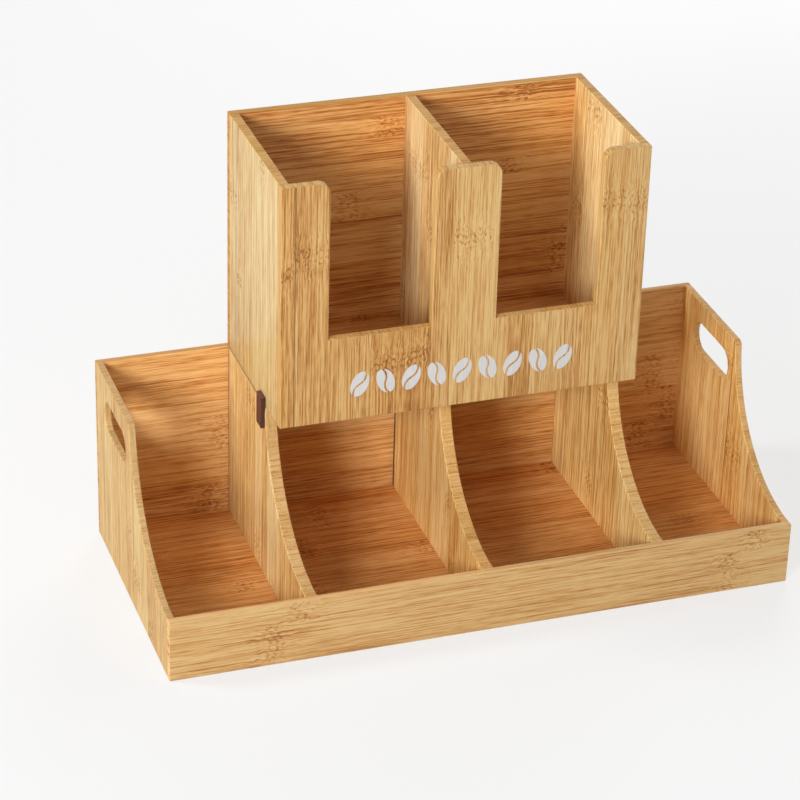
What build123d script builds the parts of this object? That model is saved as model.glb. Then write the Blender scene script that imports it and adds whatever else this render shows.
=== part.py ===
from build123d import *
import math
import os

# Two-tier bamboo organizer: a four-bay tray and, standing on it, a lift-off caddy with two
# cup bays. Millimetres, X to the right, Y to the back, Z up, origin at the bottom centre.

# Overall sizes
overall_width = 406.4
overall_depth = 180.3
overall_height = 287.0
tray_height = 126.5
lip_height = 42.4

# Board thicknesses
side_board = 4.6
back_board = 4.6
rail_board = 4.8
base_board = 5.6
divider_board = 7.7
caddy_board = 6.1
caddy_floor_board = 5.6

# Bays and the caddy
wide_bay = 105.6
caddy_depth = 117.3
caddy_side_inset = 0.6

# Swept front edge of the side panels and dividers
sweep_radius = 88.0
top_corner_radius = 4.0

# Handle slots
slot_height = 20.5
slot_drop = 24.2
slot_front_wall = 9.1
slot_back_wall = 23.5

# Cut-outs in the front of the caddy
cutout_rise = 56.8
side_post_width = 30.2
centre_post_width = 41.6
post_corner_radius = 7.0

# Locating clips
clip_proud = 2.7
clip_depth = 10.0
clip_above = 6.3
clip_below = 15.0
clip_edge_radius = 0.5
lift_clearance = 0.3

# Joints between boards
housing_depth = 1.6
peg_diameter = 2.2
peg_in_upright = 8.0
peg_in_cover = 2.8
clip_peg_diameter = 1.4
clip_peg_in_divider = 4.0
clip_peg_in_clip = 1.6
peg_fit = 0.05
peg_end_gap = 0.3
rail_peg_height_shares = (0.34, 0.74)
back_peg_height_shares = (0.18, 0.5, 0.82)
caddy_peg_height_shares = (0.12, 0.38, 0.65, 0.92)
clip_peg_height_shares = (0.25, 0.7)

# Eased edges
board_arris = 0.7
slot_arris = 0.9

# Ornament on the front of the caddy
ornament_span = 143.0
ornament_rise = 24.0
ornament_thickness = 0.3
bean_count = 9
bean_length = 17.5
bean_width = 11.0
bean_groove = 1.3
bean_bow = 1.9
bean_tilt = 22.0

# Reach round a place when its edges are picked
pick_margin = 0.01

# Places worked out from the sizes above
tray_right = overall_width / 2
tray_back = overall_depth / 2
panel_inner_x = tray_right - side_board
rail_inner_y = -tray_back + rail_board
back_inner_y = tray_back - back_board
divider_step = wide_bay + divider_board
divider_centres = (-divider_step, 0, divider_step)
divider_outer_x = divider_step + divider_board / 2
housing_floor_z = base_board - housing_depth
sweep_centre_z = lip_height + sweep_radius
sweep_turn = math.acos((sweep_centre_z - tray_height) / sweep_radius)
sweep_top_y = rail_inner_y + sweep_radius * math.sin(sweep_turn)
slot_front_y = sweep_top_y + slot_front_wall
slot_length = tray_back - slot_back_wall - slot_front_y
slot_centre_y = slot_front_y + slot_length / 2
slot_centre_z = tray_height - slot_drop
caddy_right = divider_outer_x - caddy_side_inset
caddy_inner_x = caddy_right - caddy_board
caddy_back = tray_back
caddy_front = caddy_back - caddy_depth
caddy_inner_back = caddy_back - caddy_board
caddy_inner_front = caddy_front + caddy_board
caddy_floor_top = tray_height + caddy_floor_board
cutout_floor_z = tray_height + cutout_rise
cutout_outer_x = caddy_right - side_post_width
cutout_inner_x = centre_post_width / 2
overrun = board_arris + slot_arris


def board(x_low, x_high, y_low, y_high, z_low, z_high):
    """A plain board between two corners."""
    size = (x_high - x_low, y_high - y_low, z_high - z_low)
    return Pos(x_low, y_low, z_low) * Box(*size, align=(Align.MIN, Align.MIN, Align.MIN))


def edges_within(solid, axis, low, high):
    """Edges of a solid whose middles lie between two places along an axis."""
    return solid.edges().filter_by_position(axis, low - pick_margin, high + pick_margin)


def shown_edges(solid, inner_end):
    """Edges that show on a board covering other boards: all but its inner face's ends and foot."""
    inner_face = solid.faces().sort_by(Axis.Y)[inner_end]
    inner_top = inner_face.edges().sort_by(Axis.Z)[-1]
    return solid.edges() - inner_face.edges() + [inner_top]


# Tray


def base_envelope():
    """The base board before its grooves, which the boards round it are rabbeted for."""
    half_width = panel_inner_x + housing_depth
    return board(-half_width, half_width, rail_inner_y - housing_depth,
                 back_inner_y + housing_depth, 0, base_board)


def divider_envelope(centre_x):
    """The room that a divider takes in the base and the back board."""
    half = divider_board / 2
    return board(centre_x - half, centre_x + half, rail_inner_y,
                 back_inner_y + housing_depth, housing_floor_z, tray_height)


def swept_panel(x_low, thickness, back_y, bottom_z):
    """An upright board with the swept front edge and a rounded top corner."""
    sweep = CenterArc((rail_inner_y, sweep_centre_z), sweep_radius, -90, math.degrees(sweep_turn))
    rest = Polyline((sweep_top_y, tray_height), (back_y, tray_height), (back_y, bottom_z),
                    (rail_inner_y, bottom_z), (rail_inner_y, lip_height))
    face = Plane.YZ * make_face([sweep, rest])
    panel = Pos(x_low, 0, 0) * extrude(face, thickness)
    corner = panel.edges().filter_by(Axis.X).sort_by_distance((x_low, sweep_top_y, tray_height))[0]
    panel = fillet(corner, top_corner_radius)
    rim = panel.edges().filter_by(GeomType.CIRCLE)
    rim += edges_within(panel, Axis.Z, tray_height, tray_height).filter_by(Axis.Y)
    return fillet(rim, board_arris)


def handle_slot():
    """The solid that cuts the obround handle slot through the left side panel."""
    outline = Plane.YZ * Pos(slot_centre_y, slot_centre_z) * SlotOverall(slot_length, slot_height)
    return Pos(-tray_right - overrun, 0, 0) * extrude(outline, side_board + 2 * overrun)


def left_side_panel():
    """Left side panel, with its handle slot, rabbet and peg holes."""
    panel = swept_panel(-tray_right, side_board, back_inner_y, 0) - handle_slot()
    half_length, half_height = slot_length / 2, slot_height / 2
    rim = edges_within(panel, Axis.Y, slot_centre_y - half_length, slot_centre_y + half_length)
    rim = rim.filter_by_position(Axis.Z, slot_centre_z - half_height - pick_margin,
                                 slot_centre_z + half_height + pick_margin)
    panel = fillet(rim.filter_by(Axis.X, reverse=True), slot_arris)
    foot = edges_within(panel, Axis.Z, 0, 0).filter_by(Axis.Y).sort_by(Axis.X)[0]
    panel = fillet(foot, board_arris)
    return panel - base_envelope() - tray_pegs(peg_fit, peg_end_gap)


def divider(centre_x):
    """A divider, housed in the base and in the back board."""
    panel = swept_panel(centre_x - divider_board / 2, divider_board,
                        back_inner_y + housing_depth, housing_floor_z)
    return panel - tray_pegs(peg_fit, peg_end_gap) - clip_pegs(peg_fit, peg_end_gap)


def base():
    """Base board with a groove for each divider."""
    solid = base_envelope()
    for centre_x in divider_centres:
        solid -= divider_envelope(centre_x)
    return solid


def back():
    """Back board, housed for the dividers and rabbeted for the base."""
    solid = board(-tray_right, tray_right, back_inner_y, tray_back, 0, tray_height)
    solid = fillet(shown_edges(solid, 0), board_arris) - base_envelope()
    for centre_x in divider_centres:
        solid -= divider_envelope(centre_x)
    return solid - tray_pegs(peg_fit, peg_end_gap)


def rail():
    """Front rail, rabbeted for the base."""
    solid = board(-tray_right, tray_right, -tray_back, rail_inner_y, 0, lip_height)
    solid = fillet(shown_edges(solid, -1), board_arris)
    return solid - base_envelope() - tray_pegs(peg_fit, peg_end_gap)


def left_clip():
    """Locating clip on the outer face of the left divider, across the seam under the caddy."""
    outer_x = -divider_outer_x - clip_proud
    front_y = sweep_top_y
    lower = board(outer_x, -divider_outer_x, front_y, front_y + clip_depth,
                  tray_height - clip_below, tray_height)
    upper = board(outer_x, -caddy_right - lift_clearance, front_y, front_y + clip_depth,
                  tray_height, tray_height + clip_above)
    solid = lower + upper
    outer_face = solid.faces().filter_by(Axis.X).sort_by(Axis.X)[0]
    solid = fillet(outer_face.edges(), clip_edge_radius)
    return solid - clip_pegs(peg_fit, peg_end_gap)


# Pegs


def peg(start, along, diameter, length, fit, end_gap):
    """A round peg from a start point along a direction, grown by fit to make its hole."""
    spine = Plane(origin=start, z_dir=along)
    whole = length + 2 * end_gap
    solid = Cylinder(diameter / 2 + fit, whole, align=(Align.CENTER, Align.CENTER, Align.MIN))
    return spine * Pos(0, 0, -end_gap) * solid


def tray_pegs(fit=0, end_gap=0):
    """Pegs that join the rail and the back board to the five uprights."""
    side_centre = panel_inner_x + side_board / 2
    length = peg_in_upright + peg_in_cover
    pegs = []
    for x in (-side_centre, *divider_centres, side_centre):
        for share in rail_peg_height_shares:
            start = (x, rail_inner_y - peg_in_cover, share * lip_height)
            pegs.append(peg(start, (0, 1, 0), peg_diameter, length, fit, end_gap))
        for share in back_peg_height_shares:
            cover = peg_in_cover if abs(x) > divider_outer_x else peg_in_cover - housing_depth
            seat_y = back_inner_y if abs(x) > divider_outer_x else back_inner_y + housing_depth
            start = (x, seat_y + cover, share * tray_height)
            pegs.append(peg(start, (0, -1, 0), peg_diameter, peg_in_upright + cover, fit, end_gap))
    return Compound(children=pegs)


def caddy_pegs(fit=0, end_gap=0):
    """Pegs that join the front and back panels of the caddy to its walls and partition."""
    wall_centre = caddy_inner_x + caddy_board / 2
    length = peg_in_upright + peg_in_cover
    height = overall_height - tray_height
    pegs = []
    for x in (-wall_centre, 0, wall_centre):
        for share in caddy_peg_height_shares:
            z = tray_height + share * height
            front = (x, caddy_inner_front - peg_in_cover, z)
            rear = (x, caddy_inner_back + peg_in_cover, z)
            pegs.append(peg(front, (0, 1, 0), peg_diameter, length, fit, end_gap))
            pegs.append(peg(rear, (0, -1, 0), peg_diameter, length, fit, end_gap))
    return Compound(children=pegs)


def clip_pegs(fit=0, end_gap=0):
    """Pegs that hold the two clips to the dividers."""
    length = clip_peg_in_divider + clip_peg_in_clip
    pegs = []
    for side in (-1, 1):
        for share in clip_peg_height_shares:
            z = tray_height - clip_below + share * clip_below
            start = (side * (divider_outer_x + clip_peg_in_clip), sweep_top_y + clip_depth / 2, z)
            pegs.append(peg(start, (-side, 0, 0), clip_peg_diameter, length, fit, end_gap))
    return Compound(children=pegs)


# Caddy


def caddy_floor_envelope():
    """The caddy floor before its groove, which the boards round it are rabbeted for."""
    half_width = caddy_inner_x + housing_depth
    return board(-half_width, half_width, caddy_inner_front - housing_depth,
                 caddy_inner_back + housing_depth, tray_height, caddy_floor_top)


def partition_envelope():
    """The room that the partition takes in the floor."""
    half = caddy_board / 2
    return board(-half, half, caddy_inner_front, caddy_inner_back,
                 caddy_floor_top - housing_depth, overall_height)


def caddy_partition():
    """Partition between the two cup bays."""
    solid = partition_envelope()
    rim = edges_within(solid, Axis.Z, overall_height, overall_height).filter_by(Axis.Y)
    return fillet(rim, board_arris) - caddy_pegs(peg_fit, peg_end_gap)


def caddy_floor():
    """Caddy floor, grooved for the partition."""
    return caddy_floor_envelope() - partition_envelope()


def caddy_left_wall():
    """Left wall of the caddy."""
    solid = board(-caddy_right, -caddy_inner_x, caddy_inner_front, caddy_inner_back,
                  tray_height, overall_height)
    rim = edges_within(solid, Axis.Z, overall_height, overall_height).filter_by(Axis.Y)
    foot = edges_within(solid, Axis.Z, tray_height, tray_height).filter_by(Axis.Y).sort_by(Axis.X)[0]
    solid = fillet(rim + [foot], board_arris)
    return solid - caddy_floor_envelope() - caddy_pegs(peg_fit, peg_end_gap)


def caddy_back_panel():
    """Back panel of the caddy, covering the ends of its walls."""
    solid = board(-caddy_right, caddy_right, caddy_inner_back, caddy_back,
                  tray_height, overall_height)
    solid = fillet(shown_edges(solid, 0), board_arris)
    return solid - caddy_floor_envelope() - caddy_pegs(peg_fit, peg_end_gap)


def caddy_front_panel():
    """Front panel of the caddy: three posts round two open cut-outs."""
    solid = board(-caddy_right, caddy_right, caddy_front, caddy_inner_front,
                  tray_height, overall_height)
    for side in (-1, 1):
        x_ends = sorted((side * cutout_inner_x, side * cutout_outer_x))
        solid -= board(*x_ends, caddy_front - overrun, caddy_inner_front + overrun,
                       cutout_floor_z, overall_height + overrun)
    corners = edges_within(solid, Axis.Z, overall_height, overall_height).filter_by(Axis.Y)
    corners = corners.filter_by_position(Axis.X, -cutout_outer_x - pick_margin, cutout_outer_x + pick_margin)
    solid = fillet(corners, post_corner_radius)
    flat_faces = solid.faces().filter_by(Axis.Y).sort_by(Axis.Y)
    inner_edges = flat_faces[-1].edges().sort_by(Axis.Z)[1:]
    side_edges = solid.edges().filter_by(Axis.Y).sort_by(Axis.X)
    hidden_edges = inner_edges.sort_by(Axis.X)[:1] + inner_edges.sort_by(Axis.X)[-1:]
    rim = flat_faces[0].edges() + side_edges[:2] + side_edges[-2:] + inner_edges - hidden_edges
    solid = fillet(rim, board_arris)
    return solid - caddy_floor_envelope() - caddy_pegs(peg_fit, peg_end_gap)


# Ornament


def bean():
    """A coffee bean seen flat: an ellipse parted by an S-shaped groove."""
    reach = bean_length / 2 + bean_groove
    upper = ThreePointArc((0, reach), (bean_bow, reach / 2), (0, 0))
    lower = ThreePointArc((0, 0), (-bean_bow, -reach / 2), (0, -reach))
    groove = trace(Curve() + [upper, lower], bean_groove)
    return Ellipse(bean_width / 2, bean_length / 2) - groove


def front_ornament():
    """A row of flat beans on the caddy front, tilted to the left and right in turn."""
    pitch = (ornament_span - bean_width) / (bean_count - 1)
    front = Plane(origin=(0, caddy_front, tray_height + ornament_rise), x_dir=(1, 0, 0), z_dir=(0, -1, 0))
    beans = []
    for number in range(bean_count):
        x = (number - (bean_count - 1) / 2) * pitch
        tilt = bean_tilt if number % 2 else -bean_tilt
        flat = front * Pos(x, 0) * Rot(0, 0, tilt) * bean()
        beans += extrude(flat, ornament_thickness).solids()
    return Compound(children=beans)


def parts():
    """Every named piece of the organizer."""
    pieces = {
        "base_board": base(),
        "back_board": back(),
        "front_rail": rail(),
        "left_side_panel": left_side_panel(),
        "left_locating_clip": left_clip(),
        "tray_pegs": tray_pegs(),
        "clip_pegs": clip_pegs(),
        "caddy_left_wall": caddy_left_wall(),
        "caddy_partition": caddy_partition(),
        "caddy_floor": caddy_floor(),
        "caddy_back_panel": caddy_back_panel(),
        "caddy_front_panel": caddy_front_panel(),
        "caddy_pegs": caddy_pegs(),
        "front_ornament": front_ornament(),
    }
    for name in ("left_side_panel", "left_locating_clip", "caddy_left_wall"):
        pieces[name.replace("left", "right")] = mirror(pieces[name], Plane.YZ)
    for name, centre_x in zip(("left", "centre", "right"), divider_centres):
        pieces[name + "_divider"] = divider(centre_x)
    return pieces


os.makedirs("parts", exist_ok=True)
for node, shape in parts().items():
    export_step(shape, f"parts/{node}.step")
    print(node, "solids", len(shape.solids()), "volume", round(shape.volume))
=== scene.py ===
"""Looks of a two-tier bamboo coffee station organizer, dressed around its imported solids.

A four-bay tray carries a lift-off caddy with two cup bays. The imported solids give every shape.
This script gives each board its strip bamboo, finishes the clips, the pegs and the ornament, and
sets the floor, the lamps and the camera. Metres, X to the right, Y to the back, Z up.
"""

import logging
import math
from dataclasses import dataclass, field
from enum import Enum

import bpy
from mathutils import Matrix, Vector


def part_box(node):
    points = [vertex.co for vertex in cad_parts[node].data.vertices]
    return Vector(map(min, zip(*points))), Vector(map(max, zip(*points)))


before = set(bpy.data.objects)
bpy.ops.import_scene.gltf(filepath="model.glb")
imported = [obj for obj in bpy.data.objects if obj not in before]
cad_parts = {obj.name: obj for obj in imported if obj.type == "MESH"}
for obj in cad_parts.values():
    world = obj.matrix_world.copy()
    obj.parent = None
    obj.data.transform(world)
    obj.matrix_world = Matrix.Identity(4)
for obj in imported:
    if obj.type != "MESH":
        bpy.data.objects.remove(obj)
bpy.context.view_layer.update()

LOG = logging.getLogger("organizer")
PER_MM = 1000.0

# Where Blender's Mix node has its share and its two terms, for values and for colours.
MIX_VALUE_INPUTS = (0, 2, 3)
MIX_COLOUR_INPUTS = (0, 6, 7)
MIX_COLOUR_OUTPUT = 2

Colour = tuple[float, float, float]
Span = tuple[float, float]
Socket = bpy.types.NodeSocket
Place = tuple[Socket, Socket, Socket]


class Axis(Enum):
    """An axis of the scene, by its place in a vector."""

    X = 0
    Y = 1
    Z = 2


class Side(Enum):
    """Which end of the X axis a mirrored piece stands at."""

    LEFT = -1
    RIGHT = 1


@dataclass(frozen=True)
class Fibres:
    """Noise that is drawn out by its own rate, in swings to a millimetre, along each of three places.

    Its detail is the number of finer layers, and its weight is how strongly it changes a shade.
    Fibres that show as marks start at one value of the noise and are full at another.
    """

    rates: tuple[float, float, float]
    detail: float = 2.0
    weight: float = 1.0
    start: float = 0.0
    full: float = 1.0


class Graph:
    """A material's node tree, with short calls for the nodes that the finishes use."""

    def __init__(self, name: str) -> None:
        """Start a material with a Principled shader.

        Args:
            name: The material's name.
        """
        self.material = bpy.data.materials.new(name)
        self.material.use_nodes = True
        self.tree = self.material.node_tree
        self.shader = self.tree.nodes["Principled BSDF"]

    def node(self, kind: str, **settings: object) -> bpy.types.Node:
        """Add a node.

        Args:
            kind: Blender's name for the node type, without its prefix.
            **settings: Properties of the node.

        Returns:
            The new node.
        """
        made = self.tree.nodes.new("ShaderNode" + kind)
        for key, value in settings.items():
            setattr(made, key, value)
        return made

    def feed(self, socket: Socket, value: object) -> None:
        """Link a socket to a source, or set its value.

        Args:
            socket: The input socket.
            value: An output socket, a number, or a vector or colour.
        """
        if isinstance(value, bpy.types.NodeSocket):
            self.tree.links.new(value, socket)
        elif isinstance(value, tuple) and len(value) == 3 and socket.type == "RGBA":
            socket.default_value = (*value, 1.0)
        else:
            socket.default_value = value

    def math(self, operation: str, first: object, second: object = 0.0, third: object = 0.0) -> Socket:
        """Add a Math node.

        Args:
            operation: Blender's name for the operation.
            first: The first term.
            second: The second term.
            third: The third term, where the operation has one.

        Returns:
            The result's socket.
        """
        made = self.node("Math", operation=operation)
        for socket, value in zip(made.inputs, (first, second, third)):
            self.feed(socket, value)
        return made.outputs[0]

    def span(self, value: object, low: float, high: float,
             to_low: float = 0.0, to_high: float = 1.0) -> Socket:
        """Map a range smoothly onto another one.

        Args:
            value: The value to map.
            low: Where the range starts.
            high: Where the range ends.
            to_low: The result at the start.
            to_high: The result at the end.

        Returns:
            The result's socket.
        """
        made = self.node("MapRange", interpolation_type="SMOOTHSTEP")
        for name, number in (("Value", value), ("From Min", low), ("From Max", high),
                             ("To Min", to_low), ("To Max", to_high)):
            self.feed(made.inputs[name], number)
        return made.outputs[0]

    def vector(self, x: object, y: object, z: object) -> Socket:
        """Join three values into a vector.

        Args:
            x: The first value.
            y: The second value.
            z: The third value.

        Returns:
            The vector's socket.
        """
        made = self.node("CombineXYZ")
        for socket, value in zip(made.inputs, (x, y, z)):
            self.feed(socket, value)
        return made.outputs[0]

    def parts(self, vector: Socket) -> Place:
        """Split a vector into its three values.

        Args:
            vector: The vector's socket.

        Returns:
            The three sockets.
        """
        made = self.node("SeparateXYZ")
        self.feed(made.inputs[0], vector)
        return made.outputs[0], made.outputs[1], made.outputs[2]

    def scaled(self, places: Place, shares: tuple[float, float, float]) -> Socket:
        """A vector of three places, each times its own number.

        Args:
            places: The three places.
            shares: What each is multiplied by.

        Returns:
            The vector's socket.
        """
        return self.vector(*[self.math("MULTIPLY", place, share) for place, share in zip(places, shares)])

    def noise(self, place: Socket, detail: float) -> Socket:
        """Smooth noise of about 0 to 1 at a place.

        Args:
            place: The vector that it is read at.
            detail: How many finer layers it has.

        Returns:
            The value's socket.
        """
        made = self.node("TexNoise", noise_dimensions="3D")
        self.feed(made.inputs["Vector"], place)
        self.feed(made.inputs["Scale"], 1.0)
        self.feed(made.inputs["Detail"], detail)
        return made.outputs[0]

    def cells(self, place: Socket) -> Socket:
        """Distance to the nearest middle of a pattern of scattered cells.

        Args:
            place: The vector that it is read at.

        Returns:
            The distance's socket.
        """
        made = self.node("TexVoronoi", feature="F1")
        self.feed(made.inputs["Vector"], place)
        self.feed(made.inputs["Scale"], 1.0)
        return made.outputs["Distance"]

    def chance(self, number: object) -> Place:
        """Three steady random values for a number.

        Args:
            number: The number that they belong to.

        Returns:
            Three sockets with values from 0 to 1.
        """
        made = self.node("TexWhiteNoise", noise_dimensions="1D")
        self.feed(made.inputs["W"], number)
        split = self.node("SeparateColor")
        self.feed(split.inputs[0], made.outputs["Color"])
        return split.outputs[0], split.outputs[1], split.outputs[2]

    def ramp(self, value: Socket, stops: list[tuple[float, Colour]]) -> Socket:
        """Colours along a value.

        Args:
            value: The value, from 0 to 1.
            stops: Places and colours.

        Returns:
            The colour's socket.
        """
        made = self.node("ValToRGB")
        elements = made.color_ramp.elements
        while len(elements) < len(stops):
            elements.new(1.0)
        for element, (place, colour) in zip(elements, stops):
            element.position = place
            element.color = (*colour, 1.0)
        self.feed(made.inputs[0], value)
        return made.outputs[0]

    def streaks(self, place: Place, fibres: Fibres) -> Socket:
        """The drawn-out noise of a kind of fibres.

        Args:
            place: The three places, in millimetres.
            fibres: The fibres.

        Returns:
            The value's socket.
        """
        return self.noise(self.scaled(place, fibres.rates), fibres.detail)

    def marks(self, place: Place, fibres: Fibres) -> Socket:
        """The marks that a kind of fibres leaves, as a mask from 0 to 1.

        Args:
            place: The three places, in millimetres.
            fibres: The fibres.

        Returns:
            The mask's socket.
        """
        return self.span(self.streaks(place, fibres), fibres.start, fibres.full)

    def layer(self, place: Place, fibres: Fibres, share: float = 1.0) -> tuple[Socket, float]:
        """A kind of fibres as a layer for add_swings.

        Args:
            place: The three places, in millimetres.
            fibres: The fibres.
            share: What their weight is multiplied by.

        Returns:
            The noise's socket and its weight.
        """
        return self.streaks(place, fibres), fibres.weight * share

    def add_swings(self, base: object, layers: list[tuple[Socket, float]]) -> Socket:
        """Add layers of noise to a value, each about its own middle.

        Args:
            base: The value that they are added to.
            layers: Each layer's noise and weight.

        Returns:
            The sum's socket.
        """
        total = base
        for layer, weight in layers:
            total = self.math("MULTIPLY_ADD", self.math("SUBTRACT", layer, 0.5), weight, total)
        return total

    def take_away(self, base: object, layers: list[tuple[object, float]]) -> Socket:
        """Take masks away from a value.

        Args:
            base: The value that they are taken from.
            layers: Each mask and its weight.

        Returns:
            The rest's socket.
        """
        total = base
        for mask, weight in layers:
            total = self.math("MULTIPLY_ADD", mask, -weight, total)
        return total

    def blend(self, share: object, first: object, second: object) -> Socket:
        """Mix two values.

        Args:
            share: How much of the second value there is, from 0 to 1.
            first: The first value.
            second: The second value.

        Returns:
            The mixed value's socket.
        """
        made = self.node("Mix")
        for place, value in zip(MIX_VALUE_INPUTS, (share, first, second)):
            self.feed(made.inputs[place], value)
        return made.outputs[0]

    def mixed(self, share: object, first: object, second: object, kind: str = "MIX") -> Socket:
        """Mix two colours.

        Args:
            share: How much of the second colour there is, from 0 to 1.
            first: The first colour.
            second: The second colour.
            kind: Blender's name for the way that they are mixed.

        Returns:
            The colour's socket.
        """
        made = self.node("Mix", data_type="RGBA", blend_type=kind)
        for place, value in zip(MIX_COLOUR_INPUTS, (share, first, second)):
            self.feed(made.inputs[place], value)
        return made.outputs[MIX_COLOUR_OUTPUT]

    def rest_place(self) -> Place:
        """The place on the piece at rest, in millimetres along X, Y and Z."""
        place = self.node("TexCoord").outputs["Object"]
        return self.parts(self.scaled(self.parts(place), (PER_MM, PER_MM, PER_MM)))

    def facing(self, axis: Axis) -> Socket:
        """How squarely the surface faces an axis, from 0 to 1.

        Args:
            axis: The axis.

        Returns:
            The value's socket.
        """
        normal = self.node("NewGeometry").outputs["Normal"]
        return self.math("ABSOLUTE", self.parts(normal)[axis.value])

    def relief(self, height: Socket, depth: float) -> None:
        """Give the shader a bump.

        Args:
            height: The height, from 0 to 1.
            depth: What a height of 1 is in metres.
        """
        made = self.node("Bump")
        self.feed(made.inputs["Height"], height)
        self.feed(made.inputs["Distance"], depth)
        self.feed(made.inputs["Strength"], 1.0)
        self.feed(self.shader.inputs["Normal"], made.outputs[0])

    def coat(self, shade: Socket, dark: Colour, light: Colour, roughness: Socket, depth: float) -> None:
        """Give the shader a coat of two colours.

        Args:
            shade: The shade, from 0 for the dark colour to 1 for the light one.
            dark: The dark colour.
            light: The light colour.
            roughness: The roughness.
            depth: What a shade of 1 stands up, in metres.
        """
        self.feed(self.shader.inputs["Base Color"], self.ramp(shade, [(0.0, dark), (1.0, light)]))
        self.feed(self.shader.inputs["Roughness"], roughness)
        self.relief(shade, depth)


@dataclass(frozen=True)
class Knuckle:
    """A knuckle of the bamboo that shows on a board: its place across and along it, in metres."""

    across: float
    along: float


@dataclass(frozen=True)
class JointAndShadeLine:
    """A thin dark line where a board or a strip meets the next one: painted shade in a corner or seam
    between boards, and a dark joint between strips.

    It lies at a place on its axis, in metres, reaches some millimetres to both sides, and is as
    dark as its depth says, from 0 to 1.
    """

    axis: Axis
    place: float
    reach: float = 0.8
    depth: float = 0.80


@dataclass(frozen=True)
class Strip:
    """What a point of a board takes from the strip that it lies in, as sockets of the graph."""

    number: Socket
    seam: Socket
    tone: Socket
    warmth: Socket
    chance: Socket
    phase: Socket


@dataclass(frozen=True)
class Board:
    """How one board's bamboo lies and how it differs from the others.

    The tones of its faces, of its edges and of the ledge of a cut-out multiply the finish's own
    colours. Part of how they differ between boards is painted light and shade: boards that the lamps
    reach less are made paler, those they reach more are made darker, and the floors and back boards are
    deeper and more orange for the shade inside the bays. Streaks and swing say how strong its fibres are
    and how far its strips differ, and a strip's width is in millimetres. The knuckles are those that the
    eye falls on.
    """

    node: str
    through: Axis
    along: Axis
    seed: float
    tone: Colour = (1.0, 1.0, 1.0)
    edge: Colour = (0.76, 0.69, 0.44)
    streaks: float = 1.0
    swing: float = 0.34
    strip_width: float = 17.0
    knuckles: tuple[Knuckle, ...] = ()
    joint_and_shade_lines: tuple[JointAndShadeLine, ...] = ()
    painted_ledge_light: Colour | None = None

    @property
    def across(self) -> Axis:
        """The axis in the board's face that lies square to the grain."""
        return next(a for a in Axis if a not in (self.through, self.along))


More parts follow.
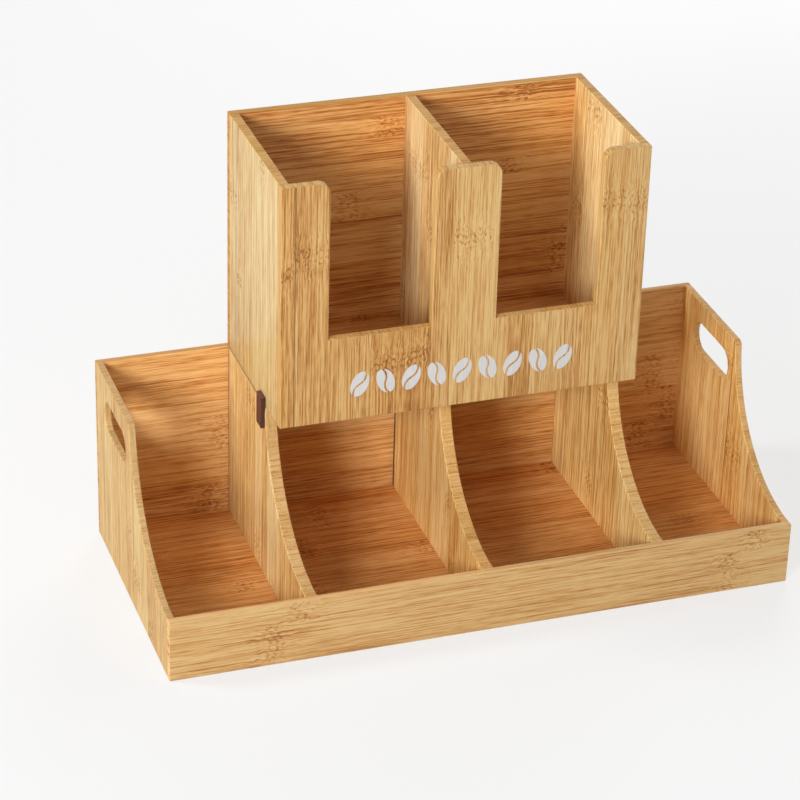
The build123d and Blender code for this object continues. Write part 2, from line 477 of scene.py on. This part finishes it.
@dataclass(frozen=True)
class BambooFinish:
    """Strip bamboo under a clear satin lacquer.

    A board is a row of strips glued side by side. Each has its own tone, its own long fibres and,
    in places, a knuckle: a zigzag row of short dark marks with the fibres waving round it.
    """

    # Colours, from the darkest fibres to the palest, and where the ramp has them.
    fibre: Colour = (0.340, 0.130, 0.034)
    deep: Colour = (0.590, 0.290, 0.088)
    body: Colour = (0.745, 0.440, 0.178)
    pale: Colour = (0.860, 0.605, 0.310)
    stop_places: tuple[float, ...] = (0.0, 0.30, 0.56, 0.95)
    warm_strip: Colour = (1.0, 0.90, 0.72)
    warm_swing: float = 0.5
    # Painted shade in corners and seams between boards, and the dark joints between strips.
    joint_and_shade: Colour = (0.070, 0.028, 0.012)

    # Strips: how uneven they are, the seams between them, and where their random values start.
    width_sway: float = 0.26
    sway_rate: float = 2.3
    seam_width: float = 0.32
    seam_weight: float = 0.32
    tone_draw: tuple[float, float] = (7.0, 0.5)
    warmth_draw: tuple[float, float] = (3.0, 60.5)
    lane_shift: float = 37.0

    # Knuckles, in millimetres along the grain: waving fibres, zigzag rows of dashes, and specks.
    internode: float = 300.0
    mark_reach: float = 8.0
    wave_start: float = 3.0
    wave_reach: float = 28.0
    wave_shift: float = 2.4
    wave: Fibres = Fibres((0.34, 0.12, 0.1))
    ragged: Fibres = Fibres((0.16, 0.0, 0.05), 0.0, 5.0)
    flame: Fibres = Fibres((1.0, 0.26, 0.2), 1.0, 0.70)
    row_pitch: float = 2.3
    row_width: Span = (0.3, 1.2)
    zigzag: Fibres = Fibres((0.55, 0.02, 0.05), 0.0, 9.0)
    gap: Fibres = Fibres((0.8, 0.08, 0.05), 0.0, start=0.38, full=0.50)
    dash_weight: float = 0.36
    speck: Fibres = Fibres((0.70, 0.28, 0.05), weight=0.16, start=0.14, full=0.30)

    # Fibres of the wide faces.
    face_middle: float = 0.56
    band: Fibres = Fibres((0.12, 0.004, 0.1), weight=0.36)
    streak: Fibres = Fibres((0.42, 0.008, 0.2), weight=0.46)
    pin: Fibres = Fibres((0.95, 0.018, 0.4), 1.0, 0.42, 0.38, 0.62)
    fine: Fibres = Fibres((1.70, 0.090, 0.7), 1.0, 0.90)
    line: Fibres = Fibres((0.80, 0.005, 0.2), 1.0, 0.22, 0.61, 0.68)
    hair: Fibres = Fibres((3.4, 0.10, 1.2), 1.0, 0.12, 0.60, 0.72)

    # Fibres of the narrow edges, where they are cut and where they run along.
    cut_middle: float = 0.56
    cut_layers: tuple[Fibres, ...] = (
        Fibres((0.9, 0.9, 0.05), weight=1.20),
        Fibres((0.11, 0.11, 0.02), 1.0, 0.50),
        Fibres((2.4, 2.4, 2.4), 1.0, 0.45),
    )
    cut_fleck: Fibres = Fibres((1.3, 1.3, 0.6), 1.0, 0.24, 0.60, 0.70)
    side_middle: float = 0.58
    side_layers: tuple[Fibres, ...] = (
        Fibres((0.5, 0.006, 0.7), 1.0, 0.70),
        Fibres((1.7, 0.050, 2.0), 1.0, 0.60),
    )

    # How squarely a surface faces an axis where a face, its rim, a cut end and a ledge begin and are full,
    # how much paler the rim is, part wear and part painted highlight, and how far below the board's top a
    # ledge lies.
    face_turn: Span = (0.35, 0.75)
    rim_turn: Span = (0.80, 0.97)
    cut_turn: Span = (0.10, 0.45)
    ledge_turn: Span = (0.60, 0.90)
    # The rim's paler colour: part wear, part painted highlight along the rounded edges.
    rim_wear_and_highlight: float = 0.07
    ledge_drop: float = 60.0

    # Lacquer on the faces, and the duller edges.
    lacquer_roughness: float = 0.48
    lacquer_shine: float = 0.45
    edge_roughness: float = 0.70
    edge_shine: float = 0.15
    grain_polish: float = 0.12
    relief_depth: float = 0.00005

    def stops(self, tone: Colour) -> list[tuple[float, Colour]]:
        """The ramp from the darkest fibres to the palest.

        Args:
            tone: What the finish's colours are multiplied by.

        Returns:
            The ramp's places and colours.
        """
        ramp = zip(self.stop_places, (self.fibre, self.deep, self.body, self.pale))
        return [(place, tuple(c * t for c, t in zip(colour, tone))) for place, colour in ramp]

    def strip(self, graph: Graph, across: Socket, board: Board) -> Strip:
        """The strips that a board is glued from, of uneven width.

        Args:
            graph: The material's graph.
            across: The place across the grain, in millimetres.
            board: The board.

        Returns:
            What a point takes from its strip.
        """
        even = graph.math("MULTIPLY_ADD", across, 1.0 / board.strip_width, board.seed)
        sway = graph.math("SINE", graph.math("MULTIPLY", even, self.sway_rate))
        count = graph.math("MULTIPLY_ADD", sway, self.width_sway, even)
        number = graph.math("FLOOR", count)
        from_seam = graph.math("PINGPONG", count, 0.5)
        seam = graph.span(from_seam, 0.0, self.seam_width / board.strip_width, 1.0, 0.0)
        tone, chance, phase = self.draw(graph, number, board, self.tone_draw)
        warmth = self.draw(graph, number, board, self.warmth_draw)[0]
        return Strip(number, seam, tone, warmth, chance, phase)

    def draw(self, graph: Graph, number: Socket, board: Board, start: tuple[float, float]) -> Place:
        """Random values of a board's strip.

        Args:
            graph: The material's graph.
            number: The strip's number.
            board: The board.
            start: What the board's seed is multiplied by, and what is added to it.

        Returns:
            Three sockets with values from 0 to 1.
        """
        rate, shift = start
        return graph.chance(graph.math("ADD", number, board.seed * rate + shift))

    def strip_at(self, across: float, board: Board) -> int:
        """The number of the strip at a place, worked out as the graph does.

        Args:
            across: The place across the grain, in metres.
            board: The board.

        Returns:
            The strip's number.
        """
        even = across * PER_MM / board.strip_width + board.seed
        return math.floor(even + self.width_sway * math.sin(self.sway_rate * even))

    def knuckle_place(self, graph: Graph, strip: Strip, board: Board) -> Socket:
        """Where each strip has a knuckle, in millimetres along the grain.

        Args:
            graph: The material's graph.
            strip: The strip.
            board: The board.

        Returns:
            The place's socket.
        """
        place = graph.math("MULTIPLY", strip.chance, self.internode)
        for knuckle in board.knuckles:
            here = graph.math("COMPARE", strip.number, float(self.strip_at(knuckle.across, board)), 0.5)
            shift = graph.math("SUBTRACT", knuckle.along * PER_MM, place)
            place = graph.math("MULTIPLY_ADD", here, shift, place)
        return place

    def knuckle_marks(self, graph: Graph, spot: Place, offset: Socket,
                      distance: Socket) -> tuple[Socket, Socket]:
        """The dark marks of a knuckle.

        Args:
            graph: The material's graph.
            spot: The place across, along and through the board, among the waving fibres.
            offset: The place from the knuckle on, in millimetres along the grain.
            distance: The same without its sign.

        Returns:
            The masks of the dashes and of the specks.
        """
        marked = graph.span(distance, 0.5 * self.mark_reach, self.mark_reach, 1.0, 0.0)
        jagged = graph.add_swings(graph.math("ADD", offset, self.row_pitch),
                                  [graph.layer(spot, self.zigzag)])
        rows = graph.span(graph.math("PINGPONG", jagged, self.row_pitch), *self.row_width, 1.0, 0.0)
        dashes = graph.math("MULTIPLY", rows, graph.marks(spot, self.gap))
        eye = graph.cells(graph.scaled(spot, self.speck.rates))
        specks = graph.span(eye, self.speck.start, self.speck.full, 1.0, 0.0)
        return graph.math("MULTIPLY", dashes, marked), graph.math("MULTIPLY", specks, marked)

    def face_shade(self, graph: Graph, place: Place, strip: Strip, board: Board) -> Socket:
        """The shade of a board's wide faces, where the fibres run along.

        Args:
            graph: The material's graph.
            place: The place across, along and through the board, in millimetres.
            strip: The strip.
            board: The board.

        Returns:
            The shade's socket, from 0 for the darkest fibres to 1 for the palest.
        """
        across, along, through = place
        lane = graph.math("MULTIPLY_ADD", strip.phase, self.lane_shift, across)
        start = graph.math("SUBTRACT", along, self.knuckle_place(graph, strip, board))
        offset = graph.math("WRAP", start, 0.5 * self.internode, -0.5 * self.internode)
        offset = graph.add_swings(offset, [graph.layer((lane, along, through), self.ragged)])
        distance = graph.math("ABSOLUTE", offset)
        waving = graph.span(distance, self.wave_start, self.wave_reach, 1.0, 0.0)
        wave = graph.streaks((lane, along, through), self.wave)
        sway = graph.math("MULTIPLY", graph.math("SUBTRACT", wave, 0.5), waving)
        lane = graph.math("MULTIPLY_ADD", sway, 2.0 * self.wave_shift, lane)
        spot = (lane, along, through)

        plain = graph.math("MULTIPLY_ADD", strip.tone, board.swing, self.face_middle - 0.5 * board.swing)
        shade = graph.add_swings(plain, [
            graph.layer(spot, self.band, board.streaks),
            graph.layer(spot, self.streak, board.streaks),
            (graph.marks(spot, self.pin), self.pin.weight),
            graph.layer(spot, self.fine),
        ])
        broken = graph.streaks(spot, self.flame)
        flames = graph.math("MULTIPLY", graph.math("SUBTRACT", broken, 0.5), waving)
        dashes, specks = self.knuckle_marks(graph, spot, offset, distance)
        return graph.take_away(shade, [
            (flames, -self.flame.weight),
            (graph.marks(spot, self.line), self.line.weight * board.streaks),
            (graph.marks(spot, self.hair), self.hair.weight),
            (dashes, self.dash_weight),
            (specks, self.speck.weight),
            (strip.seam, self.seam_weight),
        ])

    def edge_shade(self, graph: Graph, place: Place, cut: Socket) -> Socket:
        """The shade of a board's narrow edges: stripes across where fibres are cut, else along them.

        Args:
            graph: The material's graph.
            place: The place across, along and through the board, in millimetres.
            cut: How squarely the edge cuts the fibres, from 0 to 1.

        Returns:
            The shade's socket.
        """
        ends = graph.add_swings(self.cut_middle, [graph.layer(place, kind) for kind in self.cut_layers])
        sides = graph.add_swings(self.side_middle, [graph.layer(place, kind) for kind in self.side_layers])
        flecks = graph.marks(place, self.cut_fleck)
        return graph.blend(cut, sides, graph.take_away(ends, [(flecks, self.cut_fleck.weight)]))

    def joint_and_painted_shade(self, graph: Graph, board: Board) -> object:
        """How dark the lines are where other boards meet this one, from 0 to 1: painted shade in corners
        and seams, and dark joints between strips.

        Args:
            graph: The material's graph.
            board: The board.

        Returns:
            The mask's socket, or 0 on a board without such lines.
        """
        place = graph.rest_place()
        shade: object = 0.0
        for line in board.joint_and_shade_lines:
            offset = graph.math("SUBTRACT", place[line.axis.value], line.place * PER_MM)
            away = graph.math("ABSOLUTE", offset)
            mark = graph.span(away, 0.5 * line.reach, line.reach, line.depth, 0.0)
            shade = graph.math("MAXIMUM", shade, mark)
        return shade

    def edge_colour(self, graph: Graph, board: Board, shade: Socket) -> Socket:
        """The colour of a board's narrow edges, with painted light that makes the ledge of a cut-out paler
        where it has one.

        Args:
            graph: The material's graph.
            board: The board.
            shade: The shade's socket.

        Returns:
            The colour's socket.
        """
        edges = graph.ramp(shade, self.stops(board.edge))
        if board.painted_ledge_light is None:
            return edges
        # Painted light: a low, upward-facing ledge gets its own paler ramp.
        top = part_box(board.node)[1][Axis.Z.value] * PER_MM
        height = graph.rest_place()[Axis.Z.value]
        low = graph.span(height, top - self.ledge_drop, top - 0.5 * self.ledge_drop, 1.0, 0.0)
        level = graph.span(graph.facing(Axis.Z), *self.ledge_turn)
        painted_ledge_light = graph.ramp(shade, self.stops(board.painted_ledge_light))
        return graph.mixed(graph.math("MULTIPLY", low, level), edges, painted_ledge_light)

    def material(self, board: Board) -> bpy.types.Material:
        """The finish of one board.

        Args:
            board: The board.

        Returns:
            The material.
        """
        graph = Graph("bamboo_" + board.node)
        place = graph.rest_place()
        spot = tuple(place[axis.value] for axis in (board.across, board.along, board.through))
        strip = self.strip(graph, spot[0], board)
        facing = graph.facing(board.through)
        face = graph.span(facing, *self.face_turn)
        rim = graph.math("MULTIPLY", face, graph.span(facing, *self.rim_turn, 1.0, 0.0))
        # Painted shade along corners and seams between boards, and dark joints between strips, on the wide
        # faces only.
        joints_and_shade = graph.math("MULTIPLY", self.joint_and_painted_shade(graph, board), face)
        cut = graph.span(graph.facing(board.along), *self.cut_turn)
        grain = graph.blend(face, self.edge_shade(graph, spot, cut),
                            self.face_shade(graph, spot, strip, board))
        # Part wear, part painted highlight: the rim is made paler.
        shade = graph.take_away(grain, [(rim, -self.rim_wear_and_highlight)])
        edges = self.edge_colour(graph, board, shade)
        faces = graph.ramp(shade, self.stops(board.tone))
        dark_share = graph.math("MULTIPLY_ADD", strip.tone, -self.warm_swing, self.warm_swing)
        warm_share = graph.math("MULTIPLY_ADD", strip.warmth, self.warm_swing, dark_share)
        colour = graph.mixed(face, edges, graph.mixed(warm_share, faces, self.warm_strip, "MULTIPLY"))
        graph.feed(graph.shader.inputs["Base Color"], graph.mixed(joints_and_shade, colour, self.joint_and_shade))
        dull = graph.span(face, 0.0, 1.0, self.edge_roughness, self.lacquer_roughness)
        roughness = graph.add_swings(dull, [(grain, -self.grain_polish)])
        graph.feed(graph.shader.inputs["Roughness"], roughness)
        shine = graph.span(face, 0.0, 1.0, self.edge_shine, self.lacquer_shine)
        graph.feed(graph.shader.inputs["Specular IOR Level"], shine)
        graph.relief(grain, self.relief_depth)
        return graph.material


@dataclass(frozen=True)
class StainedWoodFinish:
    """Dark reddish brown stain on a small block of wood, with painted shade on the faces towards the front
    and back.
    """

    dark: Colour = (0.050, 0.012, 0.006)
    light: Colour = (0.180, 0.048, 0.024)
    figure: Fibres = Fibres((1.3, 1.3, 0.16), 3.0, start=0.32, full=0.70)
    pore: Fibres = Fibres((4.5, 4.5, 0.7), 1.0, 0.35, 0.56, 0.70)
    pore_roughness: float = 0.22
    end_turn: Span = (0.50, 0.85)
    end_painted_shade: float = 0.60
    roughness: float = 0.50
    relief_depth: float = 0.00005

    def material(self, name: str) -> bpy.types.Material:
        """The finish of one clip.

        Args:
            name: The material's name.

        Returns:
            The material.
        """
        graph = Graph(name)
        place = graph.rest_place()
        pores = graph.marks(place, self.pore)
        # Painted shade: the faces towards the front and back are made darker.
        ends = graph.span(graph.facing(Axis.Y), *self.end_turn)
        shade = graph.take_away(graph.marks(place, self.figure),
                                [(pores, self.pore.weight), (ends, self.end_painted_shade)])
        roughness = graph.math("MULTIPLY_ADD", pores, self.pore_roughness, self.roughness)
        graph.coat(shade, self.dark, self.light, roughness, self.relief_depth)
        return graph.material


@dataclass(frozen=True)
class PegFinish:
    """Bare bamboo dowel, with its fibres running along it."""

    dark: Colour = (0.42, 0.23, 0.09)
    light: Colour = (0.78, 0.55, 0.30)
    along_rate: float = 0.25
    across_rate: float = 3.2
    detail: float = 3.0
    turn: Span = (0.3, 0.7)
    fibre_roughness: float = 0.1
    roughness: float = 0.7
    relief_depth: float = 0.00004

    def material(self, name: str, along: Axis) -> bpy.types.Material:
        """The finish of a group of pegs.

        Args:
            name: The material's name.
            along: The axis that the pegs lie along.

        Returns:
            The material.
        """
        graph = Graph(name)
        rates = tuple(self.along_rate if axis is along else self.across_rate for axis in Axis)
        fibres = graph.streaks(graph.rest_place(), Fibres(rates, self.detail))
        roughness = graph.math("MULTIPLY_ADD", fibres, self.fibre_roughness, self.roughness)
        graph.coat(graph.span(fibres, *self.turn), self.dark, self.light, roughness, self.relief_depth)
        return graph.material


@dataclass(frozen=True)
class PrintFinish:
    """Flat pale silver-grey print that follows the grain of the board under it."""

    dark: Colour = (0.520, 0.515, 0.500)
    light: Colour = (0.660, 0.650, 0.635)
    fibre: Fibres = Fibres((1.8, 0.4, 0.06), start=0.30, full=0.62)
    fibre_shade: Span = (0.1, 0.8)
    grain: Fibres = Fibres((5.5, 5.5, 5.5), 1.0, 0.35)
    grain_roughness: float = 0.12
    roughness: float = 0.48
    relief_depth: float = 0.00002

    def material(self, name: str) -> bpy.types.Material:
        """The finish of the ornament.

        Args:
            name: The material's name.

        Returns:
            The material.
        """
        graph = Graph(name)
        place = graph.rest_place()
        grains = graph.streaks(place, self.grain)
        fibres = graph.span(graph.streaks(place, self.fibre), self.fibre.start, self.fibre.full,
                            *self.fibre_shade)
        shade = graph.math("MULTIPLY_ADD", grains, self.grain.weight, fibres)
        roughness = graph.math("MULTIPLY_ADD", grains, self.grain_roughness, self.roughness)
        graph.coat(shade, self.dark, self.light, roughness, self.relief_depth)
        return graph.material


def dress(node: str, material: bpy.types.Material) -> None:
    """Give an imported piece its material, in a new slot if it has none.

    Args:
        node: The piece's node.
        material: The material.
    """
    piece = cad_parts[node]
    if not piece.material_slots:
        piece.data.materials.append(material)
    for place in piece.material_slots:
        place.material = material
    LOG.info("%s: %s", node, material.name)


@dataclass
class BoardWork:
    """A sub-assembly that is made of bamboo boards."""

    finish: BambooFinish = field(default_factory=BambooFinish)

    def boards(self) -> list[Board]:
        """The boards, each with the lie of its grain."""
        raise NotImplementedError

    def dress(self) -> None:
        """Give each board its bamboo."""
        for board in self.boards():
            dress(board.node, self.finish.material(board))


@dataclass
class Tray(BoardWork):
    """The low tray: base, back board, front rail, two side panels and three dividers."""

    def divider_painted_shade(self, reach: float, depth: float) -> tuple[JointAndShadeLine, ...]:
        """The lines of painted shade where the back board and the caddy meet a divider.

        Args:
            reach: How far the painted shade in the open corner at the back board reaches, in millimetres.
            depth: How dark that corner's painted shade is, from 0 to 1.

        Returns:
            The corner's line and the seam's.
        """
        back_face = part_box("back_board")[0][Axis.Y.value]
        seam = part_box("left_divider")[1][Axis.Z.value]
        return JointAndShadeLine(Axis.Y, back_face, reach, depth), JointAndShadeLine(Axis.Z, seam)

    def boards(self) -> list[Board]:
        """The tray's boards, each with the lie of its grain."""
        # Tones and edge tones: part each board's own, part painted light and shade for how the lamps reach
        # it; the dividers' lines are painted shade.
        return [
            Board("base_board", Axis.Z, Axis.X, 3.1, (1.00, 0.85, 0.73), streaks=1.1),
            Board("back_board", Axis.Y, Axis.X, 8.7, (0.99, 0.93, 0.85), (0.76, 0.69, 0.57), 1.1,
                  knuckles=(Knuckle(0.027, -0.136), Knuckle(0.032, 0.192), Knuckle(0.045, 0.190),
                            Knuckle(0.065, -0.121))),
            Board("front_rail", Axis.Y, Axis.X, 4.0, (0.76, 0.75, 0.68), (1.02, 1.06, 1.12), 1.3,
                  strip_width=24.0, knuckles=(Knuckle(0.018, -0.138), Knuckle(0.040, -0.122))),
            Board("left_side_panel", Axis.X, Axis.Z, 5.2, (0.80, 0.87, 0.70), (0.76, 0.81, 0.85), 1.2,
                  swing=0.14),
            Board("right_side_panel", Axis.X, Axis.Z, 6.9, (1.11, 1.18, 1.11), (0.95, 0.92, 0.82), 0.9),
            Board("left_divider", Axis.X, Axis.Z, 2.4, (0.98, 1.14, 1.24), (0.84, 0.85, 0.81), 1.3,
                  joint_and_shade_lines=self.divider_painted_shade(2.2, 0.70)),
            Board("centre_divider", Axis.X, Axis.Z, 9.6, (1.08, 1.17, 1.10), (0.96, 0.95, 0.81), 0.9,
                  joint_and_shade_lines=self.divider_painted_shade(3.6, 0.96)),
            Board("right_divider", Axis.X, Axis.Z, 4.3, (1.19, 1.42, 1.46), (1.01, 1.05, 0.99),
                  joint_and_shade_lines=self.divider_painted_shade(1.2, 0.50)),
        ]


@dataclass
class CupCaddy(BoardWork):
    """The lift-off caddy: floor, back, front, two walls and the partition."""

    seam_inset: float = 0.0088
    seam_reach: float = 0.5
    seam_depth: float = 0.6

    def wall_painted_shade(self) -> tuple[JointAndShadeLine, ...]:
        """The painted shade along the line where an outer wall meets the tray's divider."""
        return (JointAndShadeLine(Axis.Z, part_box("caddy_left_wall")[0][Axis.Z.value]),)

    def post_seam(self) -> tuple[JointAndShadeLine, ...]:
        """The dark seam between two strips that runs up the front's left post."""
        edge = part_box("caddy_front_panel")[0][Axis.X.value]
        return (JointAndShadeLine(Axis.X, edge + self.seam_inset, self.seam_reach, self.seam_depth),)

    def boards(self) -> list[Board]:
        """The caddy's boards, each with the lie of its grain."""
        joints_and_shade = self.wall_painted_shade()
        # Tones and edge tones: part each board's own, part painted light and shade for how the lamps reach
        # it; the walls' seam lines are painted shade.
        return [
            Board("caddy_floor", Axis.Z, Axis.X, 7.7, (0.96, 0.81, 0.69), streaks=1.1),
            Board("caddy_back_panel", Axis.Y, Axis.X, 2.9, (0.99, 0.88, 0.75), (0.71, 0.60, 0.32), 1.4,
                  knuckles=(Knuckle(0.221, -0.038), Knuckle(0.1515, 0.104))),
            # The front panel's ledge colour is painted light on the upward ledges of the cut-outs.
            Board("caddy_front_panel", Axis.Y, Axis.Z, 1.25, (0.79, 0.79, 0.69), (0.82, 0.83, 0.68), 0.75,
                  knuckles=(Knuckle(-0.098, 0.241), Knuckle(0.012, 0.240), Knuckle(0.106, 0.252),
                            Knuckle(0.090, 0.253), Knuckle(-0.031, 0.165), Knuckle(0.037, 0.300)),
                  joint_and_shade_lines=self.post_seam(), painted_ledge_light=(1.12, 1.13, 0.97)),
            Board("caddy_left_wall", Axis.X, Axis.Z, 1.8, (0.81, 0.95, 1.00), joint_and_shade_lines=joints_and_shade),
            Board("caddy_right_wall", Axis.X, Axis.Z, 3.6, (1.14, 1.38, 1.62), streaks=0.8,
                  joint_and_shade_lines=joints_and_shade),
            Board("caddy_partition", Axis.X, Axis.Z, 5.9, (1.03, 1.23, 1.52), streaks=0.8),
        ]


@dataclass
class Fittings:
    """The small pieces: locating clips, pegs and the printed ornament."""

    clip_finish: StainedWoodFinish = field(default_factory=StainedWoodFinish)
    peg_finish: PegFinish = field(default_factory=PegFinish)
    print_finish: PrintFinish = field(default_factory=PrintFinish)

    def dress(self) -> None:
        """Give each small piece its finish."""
        for side in Side:
            name = side.name.lower()
            dress(name + "_locating_clip", self.clip_finish.material("stain_" + name))
        for node, along in (("tray_pegs", Axis.Y), ("caddy_pegs", Axis.Y), ("clip_pegs", Axis.X)):
            dress(node, self.peg_finish.material("dowel_" + node, along))
        dress("front_ornament", self.print_finish.material("silver_print"))


def backdrop_rays(tree: bpy.types.NodeTree) -> Socket:
    """One for the rays that see the backdrop as it looks, and zero for those that it lights with.

    Args:
        tree: The node tree of the floor's material or of the world.

    Returns:
        The mask's socket.
    """
    rays = tree.nodes.new("ShaderNodeLightPath")
    seen = rays.outputs["Is Camera Ray"]
    for name in ("Is Glossy Ray", "Is Transmission Ray"):
        either = tree.nodes.new("ShaderNodeMath")
        either.operation = "MAXIMUM"
        tree.links.new(seen, either.inputs[0])
        tree.links.new(rays.outputs[name], either.inputs[1])
        seen = either.outputs[0]
    return seen


@dataclass
class Floor:
    """A plain pale floor that is seen as nearly white, with the object's soft shadow."""

    reach: float = 8.0
    drop: float = 0.0002
    paint: Colour = (0.80, 0.80, 0.80)
    roughness: float = 0.9
    glow: float = 0.65

    def build(self) -> None:
        """Make the floor and its material."""
        signs = ((-1, -1), (1, -1), (1, 1), (-1, 1))
        corners = [(x * self.reach, y * self.reach, -self.drop) for x, y in signs]
        mesh = bpy.data.meshes.new("floor")
        mesh.from_pydata(corners, [], [(0, 1, 2, 3)])
        plane = bpy.data.objects.new("floor", mesh)
        bpy.context.scene.collection.objects.link(plane)
        mesh.materials.append(self.material())
        LOG.info("floor: %.0f m across", 2 * self.reach)

    def material(self) -> bpy.types.Material:
        """Pale paint, mixed with steady white for the rays that see it."""
        graph = Graph("floor_paint")
        graph.feed(graph.shader.inputs["Base Color"], self.paint)
        graph.feed(graph.shader.inputs["Roughness"], self.roughness)
        white = graph.node("Emission")
        mix = graph.node("MixShader")
        graph.feed(mix.inputs[0], graph.math("MULTIPLY", backdrop_rays(graph.tree), self.glow))
        graph.feed(mix.inputs[1], graph.shader.outputs[0])
        graph.feed(mix.inputs[2], white.outputs[0])
        graph.feed(graph.tree.nodes["Material Output"].inputs["Surface"], mix.outputs[0])
        return graph.material


def towards(azimuth: float, elevation: float) -> Vector:
    """The direction from the object to a place round it.

    Args:
        azimuth: Degrees from the front, positive to the right.
        elevation: Degrees above the floor.

    Returns:
        The direction, of length one.
    """
    turn, rise = math.radians(azimuth), math.radians(elevation)
    return Vector((math.sin(turn) * math.cos(rise), -math.cos(turn) * math.cos(rise), math.sin(rise)))


@dataclass(frozen=True)
class SoftBox:
    """A round soft lamp: the direction that it shines from, in degrees, its width and its power."""

    name: str
    azimuth: float
    elevation: float
    size: float
    watts: float


@dataclass
class Studio:
    """Plain soft light: a key from the front left, a lamp high on the left, and weak fills."""

    aim: tuple[float, float, float] = (0.0, 0.0, 0.12)
    distance: float = 2.2
    surround: float = 0.03
    lamps: tuple[SoftBox, ...] = (
        SoftBox("key", -43.0, 20.5, 0.7, 40.5),
        SoftBox("left_high", -110.0, 42.0, 0.6, 20.0),
        SoftBox("right_fill", 90.0, 30.0, 1.4, 8.0),
        SoftBox("back_fill", 150.0, 20.0, 1.4, 28.0),
        SoftBox("front_high", 0.0, 50.0, 1.4, 6.0),
    )

    def build(self) -> None:
        """Make the lamps and the world, which is white where it is seen and weak where it lights."""
        for box in self.lamps:
            self.hang(box)
        world = bpy.data.worlds.new("surround")
        world.use_nodes = True
        bpy.context.scene.world = world
        tree = world.node_tree
        level = tree.nodes.new("ShaderNodeMapRange")
        level.inputs["To Min"].default_value = self.surround
        tree.links.new(backdrop_rays(tree), level.inputs["Value"])
        tree.nodes["Background"].inputs["Color"].default_value = (1.0, 1.0, 1.0, 1.0)
        tree.links.new(level.outputs[0], tree.nodes["Background"].inputs["Strength"])

    def hang(self, box: SoftBox) -> None:
        """Place one lamp.

        Args:
            box: The lamp.
        """
        direction = towards(box.azimuth, box.elevation)
        data = bpy.data.lights.new(box.name, "AREA")
        data.shape = "DISK"
        data.size = box.size
        data.energy = box.watts
        lamp = bpy.data.objects.new(box.name, data)
        lamp.location = Vector(self.aim) + direction * self.distance
        lamp.rotation_euler = (-direction).to_track_quat("-Z", "Y").to_euler()
        bpy.context.scene.collection.objects.link(lamp)
        LOG.info("lamp %s: %.1f W", box.name, box.watts)


@dataclass
class PhotoCamera:
    """The camera at the photograph's viewing angle: from the front left, looking down.

    Its angles are in degrees, and its sensor and lens in millimetres.
    """

    aim: tuple[float, float, float] = (-0.0303, 0.0, 0.1195)
    distance: float = 1.892
    azimuth: float = -19.34
    elevation: float = 28.94
    roll: float = 1.72
    sensor: float = 36.0
    lens: float = 136.7

    def build(self) -> None:
        """Make the camera and set it as the scene's own."""
        turn, roll = math.radians(self.azimuth), math.radians(self.roll)
        forward = -towards(self.azimuth, self.elevation)
        level = Vector((math.cos(turn), math.sin(turn), 0.0))
        upright = level.cross(forward)
        right = level * math.cos(roll) + upright * math.sin(roll)
        up = upright * math.cos(roll) - level * math.sin(roll)
        data = bpy.data.cameras.new("photo_camera")
        data.sensor_width = self.sensor
        data.lens = self.lens
        camera = bpy.data.objects.new("photo_camera", data)
        place = Vector(self.aim) - forward * self.distance
        view = Matrix((right, up, -forward)).transposed().to_4x4()
        camera.matrix_world = Matrix.Translation(place) @ view
        bpy.context.scene.collection.objects.link(camera)
        bpy.context.scene.camera = camera
        LOG.info("camera: %.0f mm lens, %.2f m away", self.lens, self.distance)


def main() -> None:
    """Dress the organizer and set the stage."""
    logging.basicConfig(level=logging.INFO, format="%(message)s")
    bpy.context.scene.view_settings.view_transform = "Standard"
    Tray().dress()
    CupCaddy().dress()
    Fittings().dress()
    Floor().build()
    Studio().build()
    PhotoCamera().build()


if __name__ == "__main__":
    main()
